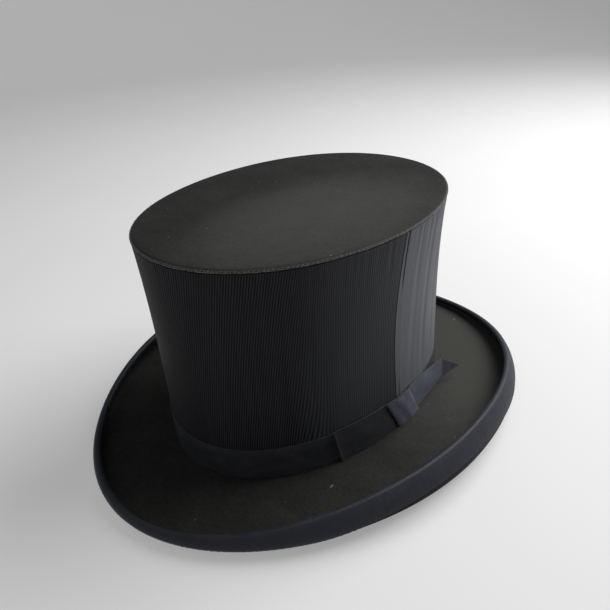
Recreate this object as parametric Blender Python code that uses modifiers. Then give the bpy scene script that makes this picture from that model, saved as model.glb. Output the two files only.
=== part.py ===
"""Collapsible top hat: a cloth crown on a folding steel frame, with a curled and bound brim.

Metres, +Z up. The hat stands on the flats under the front and rear of its brim, at z = 0.
The wearer faces -Y, and the bow is on the wearer's left, at +X.
"""

import math

import bpy
import numpy as np
from mathutils import Matrix, Vector

# Head oval, measured to the outer face of the hatband
OVAL_HALF_LENGTH = 0.1055
OVAL_HALF_WIDTH = 0.0797
OVAL_SQUARENESS = 0.010
OVAL_STEPS = 40
OVAL_SAMPLES = 1440
ANGLE_STEP = 0.01
SHARP_ANGLE = math.radians(40)

# Crown: the tip reaches beyond the head oval, most of all at the sides
CROWN_HEIGHT = 0.1403
TIP_REACH_LENGTH = 0.0013
TIP_REACH_WIDTH = 0.0060
FLARE_POWER = 3.0
CROWN_LEVELS = 7

# Brim: a saddle that dips at front and rear and curls up at the sides
BRIM_SADDLE = 0.0020
BRIM_ROOT_REACH = 0.0290
BRIM_ROOT_DROP = 0.0005
CURL_REACH_FRONT = 0.0570
CURL_REACH_SIDE = 0.0690
CURL_DROP_FRONT = 0.0088
CURL_DROP_SIDE = 0.0092
EDGE_REACH_FRONT = 0.0532
EDGE_REACH_SIDE = 0.0481
EDGE_RISE_FRONT = 0.0004
EDGE_RISE_SIDE = 0.0189
FRONT_QUARTER_TRIM = 0.0035
BRIM_ROWS = 4
BRIM_ROW_SPREAD = 1.4
CURVE_SAMPLES = 200
EDGE_SAMPLES = 24
EDGE_TURNS = (-45, 0, 45)
REST_FLAT_DEPTH = 0.0005

# Thicknesses of the layers, and the gap between layers that touch
BOARD_THICKNESS = 0.0010
COVER_THICKNESS = 0.0005
RIBBON_THICKNESS = 0.0006
CLOTH_THICKNESS = 0.0007
WALL_THICKNESS = 0.0015
LEATHER_THICKNESS = 0.0012
LINING_THICKNESS = 0.0006
TIP_BOARD_THICKNESS = 0.0012
GAP = 0.0003

# Ribbon trim
BAND_HEIGHT = 0.0225
BINDING_OUTER_WIDTH = 0.0115
BINDING_INNER_WIDTH = 0.0065
WELT_RADIUS = 0.0011
BOW_KNOT_START = math.radians(-4.5)
BOW_KNOT_END = math.radians(8.2)
BOW_KNOT_SLANT = math.radians(6)
BOW_KNOT_BULGE = 0.0016
BOW_KNOT_MARGIN = 0.0004
BOW_WING_START = math.radians(-29.8)
BOW_WING_SLANT = math.radians(2.5)
BOW_TAIL_LENGTH = 0.0384
BOW_TAIL_RISE = 0.0007
BOW_CREASE_HEIGHT = 0.0127
BOW_TAPER_POWER = 1.7
BOW_POINT_LENGTH = 0.0132
BOW_POINT_FLARE = 0.0063
BOW_POINT_RISE = 0.0041
BOW_POINT_HEIGHT = 0.0012
BOW_ROWS = 3
BOW_COLUMNS = 6
BOW_POINT_COLUMNS = 3
KNOT_STEPS = 5

# Sweatband and base wall
WALL_HEIGHT = 0.0245
SWEATBAND_TOP = 0.0226

# Folding frame: hoops, and four struts of two arms each
FRAME_SPACE = 0.0094
HOOP_THICKNESS = 0.0015
HOOP_HEIGHT = 0.0035
HINGE_ANGLE = math.radians(36)
KNEE_ANGLE = math.radians(5)
ARM_WIDTH = 0.0056
ARM_THICKNESS = 0.0008
LUG_LENGTH = 0.0060
LUG_HEIGHT = 0.0052
LUG_THICKNESS = 0.0010
PIN_RADIUS = 0.0010
PIN_HEAD_RADIUS = 0.0018
PIN_HEAD_THICKNESS = 0.0005
RIVET_CAP_RADIUS = 0.0030
HINGE_CLEARANCE = 0.0003
PIN_STEPS = 12
ARM_END_STEPS = 8
SPRING_RADIUS = 0.0026
SPRING_WIRE_RADIUS = 0.0003
SPRING_TURNS = 2
SPRING_PITCH = 0.0011
SPRING_LEG = 0.0060
SPRING_STEPS_PER_TURN = 10

# Half sizes of the tip
TIP_HALF_LENGTH = OVAL_HALF_LENGTH + TIP_REACH_LENGTH
TIP_HALF_WIDTH = OVAL_HALF_WIDTH + TIP_REACH_WIDTH

# Insets of the crown's layers from the outer face of the hatband
CLOTH_INSET = RIBBON_THICKNESS + GAP
WALL_INSET = CLOTH_INSET + CLOTH_THICKNESS + GAP
WALL_INNER_INSET = WALL_INSET + WALL_THICKNESS
SWEATBAND_INSET = WALL_INNER_INSET + GAP
LINING_INSET = CLOTH_INSET + CLOTH_THICKNESS + FRAME_SPACE
TIP_LINING_INSET = LINING_INSET + LINING_THICKNESS + GAP

# Stack of the brim, measured from the middle of its board
COVER_OFFSET = BOARD_THICKNESS / 2 + GAP
BRIM_HALF_STACK = COVER_OFFSET + COVER_THICKNESS
BINDING_OFFSET = BRIM_HALF_STACK + GAP

# Distances back from the brim's edge of the rows that the board, its covers and the binding share
EDGE_DISTANCES = [
    *np.linspace(0, BINDING_INNER_WIDTH, 4),
    (BINDING_INNER_WIDTH + BINDING_OUTER_WIDTH) / 2,
    BINDING_OUTER_WIDTH,
    (3 * BINDING_OUTER_WIDTH - BINDING_INNER_WIDTH) / 2,
    2 * BINDING_OUTER_WIDTH - BINDING_INNER_WIDTH,
]

ANGLES = np.linspace(0, 2 * math.pi, OVAL_STEPS, endpoint=False)


def clear_scene():
    for item in list(bpy.data.objects):
        bpy.data.objects.remove(item)


def new_collection(name):
    collection = bpy.data.collections.new(name)
    bpy.context.scene.collection.children.link(collection)
    return collection


def new_material(name, colour, roughness, metallic=0.0):
    material = bpy.data.materials.new(name)
    material.use_nodes = True
    shader = material.node_tree.nodes["Principled BSDF"]
    shader.inputs["Base Color"].default_value = (*colour, 1.0)
    shader.inputs["Roughness"].default_value = roughness
    shader.inputs["Metallic"].default_value = metallic
    return material


def new_object(name, data, collection, material=None):
    part = bpy.data.objects.new(name, data)
    collection.objects.link(part)
    if material:
        data.materials.append(material)
    return part


def oval_points(half_length, half_width, angles, heights):
    """Points on an oval: an ellipse filled out a little towards its four corners."""
    corner = 1 + OVAL_SQUARENESS * (1 - np.cos(4 * angles)) / 2
    x = half_width * np.cos(angles) * corner
    y = half_length * np.sin(angles) * corner
    return np.stack(np.broadcast_arrays(x, y, heights), axis=-1)


def head_points(inset, heights, angles=ANGLES):
    """Points on the head oval, moved inwards from the hatband's outer face by the inset."""
    return oval_points(OVAL_HALF_LENGTH - inset, OVAL_HALF_WIDTH - inset, angles, heights)


def sheet_mesh(name, rows, closed, rows_back):
    """Open surface through rows of points, wrapped around if closed.

    Every patch is split along the same diagonal, so that layers lie evenly on each other.
    The first rows_back rows run against those of the layer under them, and split the other way.
    """
    rows = np.asarray(rows)
    count_rows, count_columns = rows.shape[:2]
    steps = count_columns if closed else count_columns - 1
    faces = []
    for row in range(count_rows - 1):
        for column in range(steps):
            following = (column + 1) % count_columns
            here = row * count_columns
            above = here + count_columns
            patch = (here + column, here + following, above + following, above + column)
            first = 1 if row < rows_back else 0
            for second in (1, 2):
                faces.append([patch[(first + corner) % 4] for corner in (0, second, second + 1)])
    mesh = bpy.data.meshes.new(name)
    mesh.from_pydata(rows.reshape(-1, 3).tolist(), [], faces)
    mesh.shade_smooth()
    mesh.set_sharp_from_angle(angle=SHARP_ANGLE)
    return mesh


def shell(name, rows, back, front, collection, material, closed=True, rows_back=0):
    """Shell between two distances from the surface through the rows, counted along its normals."""
    part = new_object(name, sheet_mesh(name, rows, closed, rows_back), collection, material)
    solidify = part.modifiers.new("thickness", "SOLIDIFY")
    solidify.thickness = front - back
    solidify.offset = (front + back) / (front - back)
    solidify.use_even_offset = True
    return part


def plate(name, outlines, thickness, collection, material):
    """Flat plate from closed outlines, the first one outside and the others holes."""
    curve = bpy.data.curves.new(name, "CURVE")
    curve.dimensions = "2D"
    curve.fill_mode = "BOTH"
    curve.extrude = thickness / 2
    for outline in outlines:
        spline = curve.splines.new("POLY")
        spline.points.add(len(outline) - 1)
        for point, place in zip(spline.points, outline):
            point.co = (place[0], place[1], 0, 1)
        spline.use_cyclic_u = True
    return new_object(name, curve, collection, material)


def oval_plate(name, half_length, half_width, bottom, thickness, collection, material, rim=None):
    """Flat oval disc, or a ring of the given rim width."""
    insets = [0] if rim is None else [0, rim]
    outlines = []
    for inset in insets:
        points = oval_points(half_length - inset, half_width - inset, ANGLES, 0)
        outlines.append(points[:, :2].tolist())
    part = plate(name, outlines, thickness, collection, material)
    part.location.z = bottom + thickness / 2
    return part


def circle(radius, centre=(0, 0), steps=PIN_STEPS):
    turn = [2 * math.pi * step / steps for step in range(steps)]
    return [(centre[0] + radius * math.cos(a), centre[1] + radius * math.sin(a)) for a in turn]


def turned(name, profile, collection, material):
    """Solid of revolution about local Z from (radius, height) points that run down its outside."""
    mesh = bpy.data.meshes.new(name)
    edges = [(i, i + 1) for i in range(len(profile) - 1)]
    mesh.from_pydata([(radius, 0, height) for radius, height in profile], edges, [])
    part = new_object(name, mesh, collection, material)
    screw = part.modifiers.new("turning", "SCREW")
    screw.steps = PIN_STEPS
    screw.render_steps = PIN_STEPS
    screw.use_merge_vertices = True
    screw.merge_threshold = 0.00001
    return part


def junction_height(angles):
    """Top of the brim where the crown stands on it, on a saddle that is higher at the sides."""
    return JUNCTION + BRIM_SADDLE * np.cos(2 * angles)


def brim_curve(angle, junction):
    """Middle of the brim's board at one angle, from the crown to the edge.

    Returns distances along it, its reach beyond the hatband, its height and its upward normal.
    """
    side = (1 + math.cos(2 * angle)) / 2
    root = junction + BRIM_SADDLE * math.cos(2 * angle) - BRIM_HALF_STACK
    trim = FRONT_QUARTER_TRIM * math.sin(2 * angle) ** 2 if math.sin(angle) < 0 else 0
    corners = np.array([
        (-WALL_INNER_INSET, root),
        (BRIM_ROOT_REACH, root - BRIM_ROOT_DROP),
        (CURL_REACH_FRONT + (CURL_REACH_SIDE - CURL_REACH_FRONT) * side - trim,
         junction - CURL_DROP_FRONT - (CURL_DROP_SIDE - CURL_DROP_FRONT) * side),
        (EDGE_REACH_FRONT + (EDGE_REACH_SIDE - EDGE_REACH_FRONT) * side - trim,
         junction + EDGE_RISE_FRONT + (EDGE_RISE_SIDE - EDGE_RISE_FRONT) * side),
    ])
    t = np.linspace(0, 1, CURVE_SAMPLES)[:, None]
    weights = (1 - t) ** 3, 3 * (1 - t) ** 2 * t, 3 * (1 - t) * t ** 2, t ** 3
    points = sum(weight * corner for weight, corner in zip(weights, corners))
    steps = np.gradient(points, axis=0)
    steps /= np.linalg.norm(steps, axis=1, keepdims=True)
    lengths = np.linalg.norm(np.diff(points, axis=0), axis=1)
    distances = np.concatenate([[0], np.cumsum(lengths)])
    return distances, points[:, 0], points[:, 1], -steps[:, 1], steps[:, 0]


def brim_point(angle, junction, distance, offset):
    """Reach and height at a distance back from the brim's edge, raised by the offset."""
    distances, reach, height, normal_reach, normal_height = brim_curve(angle, junction)
    along = distances[-1] - distance
    return [
        np.interp(along, distances, values) + offset * np.interp(along, distances, normals)
        for values, normals in ((reach, normal_reach), (height, normal_height))
    ]


def brim_row(junction, distance_at, offset):
    """Row of points round the brim, at a distance from the edge given for each angle."""
    row = []
    for angle in ANGLES:
        reach, height = brim_point(angle, junction, distance_at(angle), offset)
        row.append(head_points(-reach, height, angle))
    return row


def brim_rows(junction):
    """Rows round the middle of the brim's board, from its edge in to the crown, with normals up."""
    rows = [brim_row(junction, lambda angle, d=d: d, 0) for d in EDGE_DISTANCES]
    for share in np.linspace(0, 1, BRIM_ROWS + 1)[1:] ** BRIM_ROW_SPREAD:
        def distance_at(angle, share=share):
            width = brim_curve(angle, junction)[0][-1]
            return EDGE_DISTANCES[-1] + share * (width - EDGE_DISTANCES[-1])
        rows.append(brim_row(junction, distance_at, 0))
    return rows


def binding_rows(junction):
    """Rows across the binding's inner face: up its under side, round the edge and back on top.

    Returns the rows, and how many of them run outwards.
    """
    under = [distance for distance in reversed(EDGE_DISTANCES) if distance <= BINDING_OUTER_WIDTH]
    over = [distance for distance in EDGE_DISTANCES if distance <= BINDING_INNER_WIDTH]
    rows = [brim_row(junction, lambda angle, d=d: d, -BINDING_OFFSET) for d in under]
    for turn in EDGE_TURNS:
        beyond = BINDING_OFFSET * math.cos(math.radians(turn))
        offset = BINDING_OFFSET * math.sin(math.radians(turn))
        row = []
        for angle in ANGLES:
            reach, height = brim_point(angle, junction, 0, offset)
            normal = [v[-1] for v in brim_curve(angle, junction)[3:]]
            reach += beyond * normal[1]
            height -= beyond * normal[0]
            row.append(head_points(-reach, height, angle))
        rows.append(row)
    rows += [brim_row(junction, lambda angle, d=d: d, BINDING_OFFSET) for d in over]
    return rows, len(under)


def lowest_brim_point():
    """Lowest height of the binding's outer face, with the junction at zero."""
    distances = np.linspace(0, BINDING_OUTER_WIDTH, EDGE_SAMPLES)
    offset = -(BINDING_OFFSET + RIBBON_THICKNESS)
    return min(brim_point(math.pi / 2, 0, distance, offset)[1] for distance in distances)


# Heights, from the flats that the hat stands on
JUNCTION = -lowest_brim_point() - REST_FLAT_DEPTH
TIP_TOP = JUNCTION + CROWN_HEIGHT
BAND_TOP = JUNCTION + BAND_HEIGHT
WALL_TOP = JUNCTION + WALL_HEIGHT
WELT_HEIGHT = TIP_TOP - WELT_RADIUS - GAP
CLOTH_TOP = WELT_HEIGHT - WELT_RADIUS - GAP
TIP_BOARD_BOTTOM = TIP_TOP - CLOTH_THICKNESS - GAP - TIP_BOARD_THICKNESS
TIP_INSET = 2 * WELT_RADIUS + GAP
LOWER_HOOP_BOTTOM = WALL_TOP + GAP
UPPER_HOOP_BOTTOM = TIP_BOARD_BOTTOM - GAP - HOOP_HEIGHT
LEDGE_BOTTOM = JUNCTION + SWEATBAND_TOP + GAP
LEDGE_TOP = LEDGE_BOTTOM + LINING_THICKNESS
LOWER_HINGE = LEDGE_TOP + 2 * HINGE_CLEARANCE + ARM_WIDTH / 2
UPPER_HINGE = TIP_BOARD_BOTTOM - HINGE_CLEARANCE - ARM_WIDTH / 2
ARM_LENGTH = (UPPER_HINGE - LOWER_HINGE) / 2


def crown_flare(height):
    """Share of the tip's extra width that the cloth has at a height above the hatband."""
    share = np.clip((height - BAND_TOP) / (CLOTH_TOP - BAND_TOP), 0, 1)
    return share ** FLARE_POWER


def crown_axes(height):
    """Half length and half width of the cloth's outer face at a height."""
    flare = crown_flare(height)
    length = OVAL_HALF_LENGTH - CLOTH_INSET
    width = OVAL_HALF_WIDTH - CLOTH_INSET
    top_length = TIP_HALF_LENGTH - GAP
    top_width = TIP_HALF_WIDTH - GAP
    return length + (top_length - length) * flare, width + (top_width - width) * flare


def make_brim(parts, cutters, materials):
    rows = brim_rows(JUNCTION)
    shell("brim_board", rows, -BOARD_THICKNESS / 2, BOARD_THICKNESS / 2, parts, materials["board"])
    shell("brim_upper_cover", rows, COVER_OFFSET, BRIM_HALF_STACK, parts, materials["felt"])
    shell("brim_lower_cover", rows, -BRIM_HALF_STACK, -COVER_OFFSET, parts, materials["felt"])

    rows, rows_back = binding_rows(JUNCTION)
    binding = shell("brim_binding", rows, 0, RIBBON_THICKNESS, parts, materials["ribbon"],
                    rows_back=rows_back)
    reach = 2 * (OVAL_HALF_LENGTH + EDGE_REACH_FRONT)
    bpy.ops.mesh.primitive_cube_add(size=2 * reach, location=(0, 0, -reach))
    slab = bpy.context.object
    slab.name = "standing_plane"
    for collection in list(slab.users_collection):
        collection.objects.unlink(slab)
    cutters.objects.link(slab)
    slab.hide_render = True
    slab.display_type = "WIRE"
    planing = binding.modifiers.new("standing_flats", "BOOLEAN")
    planing.object = slab
    planing.operation = "DIFFERENCE"


def make_base(parts, materials):
    foot = junction_height(ANGLES) + GAP
    wall = [head_points(WALL_INSET, foot), head_points(WALL_INSET, WALL_TOP)]
    shell("crown_base_wall", wall, -WALL_THICKNESS, 0, parts, materials["board"])

    oval_plate("lower_hoop", OVAL_HALF_LENGTH - WALL_INSET, OVAL_HALF_WIDTH - WALL_INSET,
               LOWER_HOOP_BOTTOM, HOOP_HEIGHT, parts, materials["steel"], rim=HOOP_THICKNESS)

    hem = junction_height(ANGLES) - 2 * BRIM_HALF_STACK
    sweatband = [head_points(SWEATBAND_INSET, hem), head_points(SWEATBAND_INSET, JUNCTION + SWEATBAND_TOP)]
    shell("sweatband", sweatband, -LEATHER_THICKNESS, 0, parts, materials["leather"])

    band = [head_points(0, foot), head_points(0, junction_height(ANGLES) + BAND_HEIGHT)]
    shell("hatband", band, -RIBBON_THICKNESS, 0, parts, materials["ribbon"])


def make_bow(parts, materials):
    """Flat bow on the hatband: a wing to the front, a slanted knot, and a tail that stands off to the rear."""
    shares = np.linspace(0, 1, BOW_ROWS)
    lift = GAP + RIBBON_THICKNESS
    edge = lift / OVAL_HALF_LENGTH

    def bow_point(angle, share, standing):
        height = junction_height(angle) + GAP + share * (BAND_HEIGHT - GAP)
        return head_points(-standing, height, angle)

    def slanted(angle, share):
        return angle + BOW_KNOT_SLANT * (0.5 - share)

    rows = []
    for share in shares:
        start = BOW_WING_START + BOW_WING_SLANT * (1 - share)
        angles = np.linspace(start, slanted(BOW_KNOT_START, share) - edge, BOW_COLUMNS)
        rows.append([bow_point(angle, share, lift) for angle in angles])
    shell("bow_front_wing", rows, -RIBBON_THICKNESS, 0, parts, materials["ribbon"], closed=False)

    rows = []
    margin = BOW_KNOT_MARGIN / BAND_HEIGHT
    for share in np.linspace(GAP / BAND_HEIGHT - margin, 1 + margin, KNOT_STEPS):
        row = []
        for across in np.linspace(0, 1, KNOT_STEPS):
            angle = slanted(BOW_KNOT_START + across * (BOW_KNOT_END - BOW_KNOT_START), share)
            bulge = BOW_KNOT_BULGE * math.sin(math.pi * across)
            row.append(bow_point(angle, share, lift + RIBBON_THICKNESS + bulge))
        rows.append(row)
    shell("bow_knot", rows, -2 * RIBBON_THICKNESS, 0, parts, materials["ribbon"], closed=False)

    foot_angle = slanted(BOW_KNOT_END, 0) + edge
    foot = bow_point(foot_angle, 0, lift)
    heading = bow_point(foot_angle + ANGLE_STEP, 0, lift) - foot
    heading[2] = 0
    heading /= np.linalg.norm(heading)
    aside = np.array((heading[1], -heading[0], 0))
    crease = foot + heading * BOW_TAIL_LENGTH
    crease[2] += BOW_TAIL_RISE
    point = crease + heading * BOW_POINT_LENGTH + aside * BOW_POINT_FLARE
    point[2] = foot[2] + BOW_POINT_RISE
    rows = []
    for share in shares:
        root = bow_point(slanted(BOW_KNOT_END, share) + edge, share, lift)
        fold = crease + np.array((0, 0, share * BOW_CREASE_HEIGHT))
        end = point + np.array((0, 0, share * BOW_POINT_HEIGHT))
        row = []
        for along in np.linspace(0, 1, BOW_COLUMNS):
            place = root + (fold - root) * along
            place[2] = root[2] + (fold[2] - root[2]) * along ** (1 + (BOW_TAPER_POWER - 1) * share)
            row.append(place)
        row += [fold + (end - fold) * along for along in np.linspace(0, 1, BOW_POINT_COLUMNS)[1:]]
        rows.append(row)
    shell("bow_rear_tail", rows, -RIBBON_THICKNESS, 0, parts, materials["ribbon"], closed=False)


def make_cloths(parts, materials):
    """Crown cloth over the frame, and the lining that hides the frame from the head."""
    levels = [junction_height(ANGLES) + GAP, junction_height(ANGLES) + BAND_HEIGHT]
    levels += list(np.linspace(BAND_TOP, CLOTH_TOP, CROWN_LEVELS)[1:])
    rows = []
    for height in levels:
        length, width = crown_axes(height)
        rows.append(oval_points(length, width, ANGLES, height))
    shell("crown_cloth", rows, -CLOTH_THICKNESS, 0, parts, materials["cloth"])

    lining_top = TIP_BOARD_BOTTOM - GAP
    rows = [
        head_points(SWEATBAND_INSET, LEDGE_TOP),
        head_points(LINING_INSET, LEDGE_TOP),
        head_points(LINING_INSET, lining_top),
    ]
    shell("crown_lining", rows, -LINING_THICKNESS, 0, parts, materials["lining"])


def make_tip(parts, materials):
    length = TIP_HALF_LENGTH - TIP_INSET
    width = TIP_HALF_WIDTH - TIP_INSET
    oval_plate("tip_cover", length, width, TIP_TOP - CLOTH_THICKNESS, CLOTH_THICKNESS,
               parts, materials["felt"])
    oval_plate("tip_board", length, width, TIP_BOARD_BOTTOM, TIP_BOARD_THICKNESS, parts, materials["board"])

    lining_bottom = TIP_BOARD_BOTTOM - GAP - LINING_THICKNESS
    oval_plate("tip_lining", OVAL_HALF_LENGTH - TIP_LINING_INSET, OVAL_HALF_WIDTH - TIP_LINING_INSET,
               lining_bottom, LINING_THICKNESS, parts, materials["lining"])

    length, width = (axis - CLOTH_THICKNESS - GAP for axis in crown_axes(UPPER_HOOP_BOTTOM))
    oval_plate("upper_hoop", length, width, UPPER_HOOP_BOTTOM, HOOP_HEIGHT, parts, materials["steel"],
               rim=HOOP_THICKNESS)

    curve = bpy.data.curves.new("tip_welt", "CURVE")
    curve.dimensions = "3D"
    curve.bevel_depth = WELT_RADIUS
    curve.bevel_resolution = 1
    spline = curve.splines.new("POLY")
    points = oval_points(TIP_HALF_LENGTH - WELT_RADIUS, TIP_HALF_WIDTH - WELT_RADIUS, ANGLES, WELT_HEIGHT)
    spline.points.add(len(points) - 1)
    for point, place in zip(spline.points, points):
        point.co = (*place, 1)
    spline.use_cyclic_u = True
    new_object("tip_welt", curve, parts, materials["cloth"])


def strut_frame(side, end):
    """Frame of one strut at its lower hinge: local Y up, and local Z towards the head.

    The strut folds in the upright plane of local X and Y, along a chord of the oval that
    leads from the hinge towards the middle of the hat's side.
    """
    hinge = np.array([side, end, 1]) * head_points(WALL_INNER_INSET, LOWER_HINGE, HINGE_ANGLE)
    knee = np.array([side, end, 1]) * head_points(WALL_INNER_INSET, LOWER_HINGE, KNEE_ANGLE)
    chord = Vector(knee - hinge).normalized()
    beside = head_points(WALL_INNER_INSET, LOWER_HINGE, HINGE_ANGLE + ANGLE_STEP)
    tangent = Vector(np.array([side, end, 1]) * beside - hinge).normalized()
    up = Vector((0, 0, 1))
    across = chord if side * end > 0 else -chord
    inward = across.cross(up)
    skew = abs(tangent.cross(chord).z)
    origin = Vector(hinge) + inward * (GAP + skew * LUG_LENGTH / 2)
    frame = Matrix((across, up, inward)).transposed().to_4x4()
    frame.translation = origin
    return frame


def upper_hoop_depth(frame):
    """How far outside the strut's frame the inner face of the upper hoop lies, at its closest."""
    inset = CLOTH_THICKNESS + GAP + HOOP_THICKNESS
    length, width = (axis - inset for axis in crown_axes(UPPER_HOOP_BOTTOM))
    samples = np.linspace(0, 2 * math.pi, OVAL_SAMPLES, endpoint=False)
    points = oval_points(length, width, samples, LOWER_HINGE)
    local = np.array([frame.inverted() @ Vector(point) for point in points])
    near = (abs(local[:, 0]) < LUG_LENGTH / 2) & (local[:, 2] < 0)
    return local[near, 2].max()


def make_pin(name, bottom, top, parts, materials):
    """Headed pin along local Z, its head on the side of the head."""
    profile = [
        (0, top + PIN_HEAD_THICKNESS),
        (PIN_HEAD_RADIUS, top + PIN_HEAD_THICKNESS),
        (PIN_HEAD_RADIUS, top),
        (PIN_RADIUS, top),
        (PIN_RADIUS, bottom),
        (0, bottom),
    ]
    return turned(name, profile, parts, materials["steel"])


def arm_outline(length):
    """Flat arm with round ends, centred on its first hinge and running up local Y."""
    radius = ARM_WIDTH / 2
    outline = []
    for step in range(ARM_END_STEPS + 1):
        angle = math.pi * step / ARM_END_STEPS
        outline.append((radius * math.cos(angle), length + radius * math.sin(angle)))
    for step in range(ARM_END_STEPS + 1):
        angle = math.pi + math.pi * step / ARM_END_STEPS
        outline.append((radius * math.cos(angle), radius * math.sin(angle)))
    return outline


def make_spring(name, parts, materials):
    """Torsion spring round the knee rivet, with one leg along the lower arm."""
    curve = bpy.data.curves.new(name, "CURVE")
    curve.dimensions = "3D"
    curve.bevel_depth = SPRING_WIRE_RADIUS
    curve.bevel_resolution = 1
    curve.use_fill_caps = True
    points = [(-SPRING_RADIUS, -SPRING_LEG, 0)]
    count = SPRING_TURNS * SPRING_STEPS_PER_TURN
    for step in range(count + 1):
        turn = math.pi - 2 * math.pi * step / SPRING_STEPS_PER_TURN
        height = -SPRING_PITCH * step / SPRING_STEPS_PER_TURN
        points.append((SPRING_RADIUS * math.cos(turn), SPRING_RADIUS * math.sin(turn), height))
    spline = curve.splines.new("POLY")
    spline.points.add(len(points) - 1)
    for point, place in zip(spline.points, points):
        point.co = (*place, 1)
    print(f"{name}: least gap between turns {SPRING_PITCH - 2 * SPRING_WIRE_RADIUS:.5f} m")
    return new_object(name, curve, parts, materials["steel"])


def make_strut(corner, side, end, parts, materials):
    """One strut: lug and pin on each hoop, two arms, and the knee's rivet and spring."""
    frame = strut_frame(side, end)
    hinge_height = Matrix.Translation((0, 2 * ARM_LENGTH, 0))
    knee_height = Matrix.Translation((0, ARM_LENGTH, 0))
    hole = PIN_RADIUS + HINGE_CLEARANCE
    lower_layer = LUG_THICKNESS + GAP
    upper_layer = lower_layer + ARM_THICKNESS + GAP
    inner_face = upper_layer + ARM_THICKNESS + GAP

    def place(part, matrix, depth=0.0):
        part.matrix_world = matrix @ Matrix.Translation((0, 0, depth))

    def make_lug(name, outer, inner, matrix, top):
        outline = [(-LUG_LENGTH / 2, top - LUG_HEIGHT), (LUG_LENGTH / 2, top - LUG_HEIGHT),
                   (LUG_LENGTH / 2, top), (-LUG_LENGTH / 2, top)]
        lug = plate(name, [outline, circle(hole)], inner - outer, parts, materials["steel"])
        place(lug, matrix, (outer + inner) / 2)

    lower_lug_top = LOWER_HOOP_BOTTOM + LUG_HEIGHT - LOWER_HINGE
    make_lug(f"{corner}_lower_lug", 0, LUG_THICKNESS, frame, lower_lug_top)
    lower_pin = make_pin(f"{corner}_lower_pin", 0, upper_layer, parts, materials)
    place(lower_pin, frame)

    outlines = [arm_outline(ARM_LENGTH), circle(hole), circle(hole, (0, ARM_LENGTH))]
    lower_arm = plate(f"{corner}_lower_arm", outlines, ARM_THICKNESS, parts, materials["steel"])
    place(lower_arm, frame, lower_layer + ARM_THICKNESS / 2)
    upper_arm = plate(f"{corner}_upper_arm", outlines, ARM_THICKNESS, parts, materials["steel"])
    place(upper_arm, frame @ knee_height, upper_layer + ARM_THICKNESS / 2)

    spring_top = lower_layer - GAP - SPRING_WIRE_RADIUS
    spring_bottom = spring_top - SPRING_TURNS * SPRING_PITCH - SPRING_WIRE_RADIUS
    spring = make_spring(f"{corner}_knee_spring", parts, materials)
    place(spring, frame @ knee_height, spring_top)
    cap = spring_bottom - GAP
    profile = [
        (0, inner_face + PIN_HEAD_THICKNESS),
        (PIN_HEAD_RADIUS, inner_face + PIN_HEAD_THICKNESS),
        (PIN_HEAD_RADIUS, inner_face),
        (PIN_RADIUS, inner_face),
        (PIN_RADIUS, cap),
        (RIVET_CAP_RADIUS, cap),
        (RIVET_CAP_RADIUS, cap - PIN_HEAD_THICKNESS),
        (0, cap - PIN_HEAD_THICKNESS),
    ]
    rivet = turned(f"{corner}_knee_rivet", profile, parts, materials["steel"])
    place(rivet, frame @ knee_height)

    outer = upper_hoop_depth(frame) + GAP
    upper_lug_top = TIP_BOARD_BOTTOM - GAP - UPPER_HINGE
    make_lug(f"{corner}_upper_lug", outer, upper_layer - GAP, frame @ hinge_height, upper_lug_top)
    upper_pin = make_pin(f"{corner}_upper_pin", outer, inner_face, parts, materials)
    place(upper_pin, frame @ hinge_height)


def make_materials():
    return {
        "cloth": new_material("ribbed_silk", (0.012, 0.012, 0.013), 0.55),
        "felt": new_material("black_felt", (0.016, 0.016, 0.015), 0.85),
        "ribbon": new_material("grosgrain_ribbon", (0.013, 0.014, 0.016), 0.5),
        "board": new_material("stiffened_board", (0.030, 0.027, 0.024), 0.8),
        "leather": new_material("sweatband_leather", (0.10, 0.055, 0.030), 0.5),
        "lining": new_material("black_satin", (0.010, 0.010, 0.011), 0.35),
        "steel": new_material("spring_steel", (0.30, 0.30, 0.31), 0.4, metallic=1.0),
    }


def main():
    clear_scene()
    parts = new_collection("collapsible_top_hat")
    cutters = new_collection("cutters")
    materials = make_materials()
    make_brim(parts, cutters, materials)
    make_base(parts, materials)
    make_bow(parts, materials)
    make_cloths(parts, materials)
    make_tip(parts, materials)
    for end_name, end in (("front", -1), ("rear", 1)):
        for side_name, side in (("left", 1), ("right", -1)):
            make_strut(f"{end_name}_{side_name}", side, end, parts, materials)


main()
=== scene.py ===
import bpy
import bmesh
import numpy as np
from mathutils import Matrix, Vector


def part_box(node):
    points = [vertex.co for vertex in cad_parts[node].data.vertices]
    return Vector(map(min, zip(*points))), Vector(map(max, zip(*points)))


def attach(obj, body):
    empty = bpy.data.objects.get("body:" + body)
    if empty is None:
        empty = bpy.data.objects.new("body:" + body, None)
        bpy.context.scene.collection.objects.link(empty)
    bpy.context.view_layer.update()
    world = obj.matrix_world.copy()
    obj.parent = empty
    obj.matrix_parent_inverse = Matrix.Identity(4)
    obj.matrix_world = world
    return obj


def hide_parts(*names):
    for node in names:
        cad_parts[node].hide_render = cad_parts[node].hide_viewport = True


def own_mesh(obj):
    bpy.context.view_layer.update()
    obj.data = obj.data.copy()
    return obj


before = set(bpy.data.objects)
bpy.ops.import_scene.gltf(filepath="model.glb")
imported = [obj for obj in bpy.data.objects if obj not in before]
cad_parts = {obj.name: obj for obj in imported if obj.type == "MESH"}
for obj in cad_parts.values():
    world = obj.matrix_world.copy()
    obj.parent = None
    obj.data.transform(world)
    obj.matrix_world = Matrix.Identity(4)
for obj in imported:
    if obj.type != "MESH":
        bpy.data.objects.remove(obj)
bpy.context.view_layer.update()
print("frame loaded")

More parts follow.
